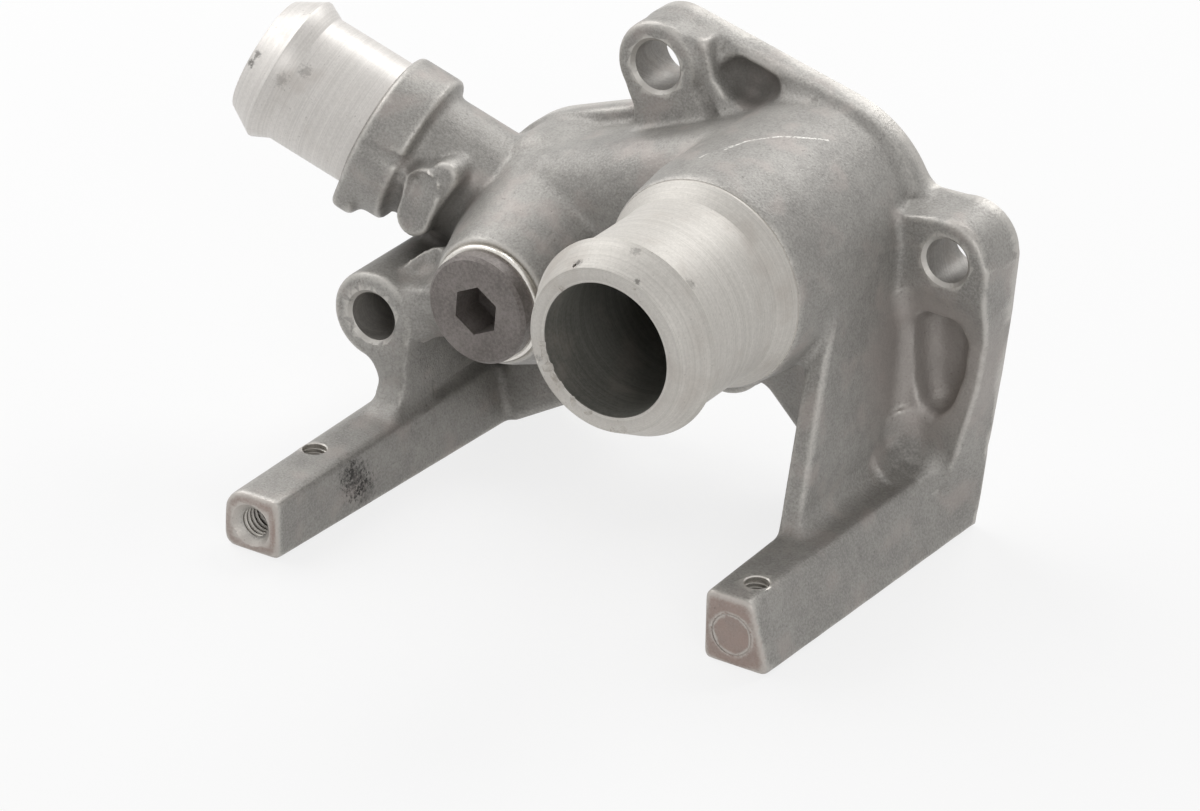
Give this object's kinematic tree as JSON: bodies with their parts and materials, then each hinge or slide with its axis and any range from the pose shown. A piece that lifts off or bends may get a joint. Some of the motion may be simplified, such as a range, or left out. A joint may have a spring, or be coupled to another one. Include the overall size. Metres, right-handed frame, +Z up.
{
  "type": "thermostat housing",
  "caption": "Cast aluminium coolant housing with a big straight hose stub, a smaller slanted one, a hexagon-socket screw plug, bolt bosses and bracket arms; a wax valve works inside.",
  "frame": {"origin": "where the big outlet's axis meets the mounting face", "axes": "+Y out of the mounting face towards the engine, +Z up as pictured, +X right as seen from the front"},
  "size_m": [0.1444, 0.0783, 0.0835],
  "materials": {
    "cast_aluminium": "rough die casting, machined at the stubs and holes",
    "plug_steel": "dull turned",
    "washer_metal": "bright",
    "seal_rubber": "matt",
    "sheet_steel": "satin",
    "spring_steel": "drawn wire",
    "capsule_brass": "turned",
    "rod_steel": "polished"
  },
  "bodies": {
    "housing_body": {"housing": "cast_aluminium", "screw_plug": "plug_steel", "plug_washer": "washer_metal", "seat_seal": "seal_rubber", "seat_ring": "sheet_steel", "retaining_ring": "spring_steel", "push_rod": "rod_steel", "return_spring": "spring_steel", "spring_bridge": "sheet_steel"},
    "valve": {"wax_capsule": "capsule_brass", "valve_plate": "sheet_steel"},
    "pin": {"bleed_pin": "capsule_brass"}
  },
  "joints": [
    {"name": "valve_lift", "type": "slide", "parent": "housing_body", "child": "valve", "axis": [0, 1, 0], "range_m": [0, 0.005], "stiffness_N_per_m": 2500, "springref_m": -0.012, "deforming": ["return_spring"]},
    {"name": "bleed_pin_rattle", "type": "slide", "parent": "housing_body", "child": "pin", "axis": [0, 1, 0], "range_m": [0, 0.0008]}
  ]
}
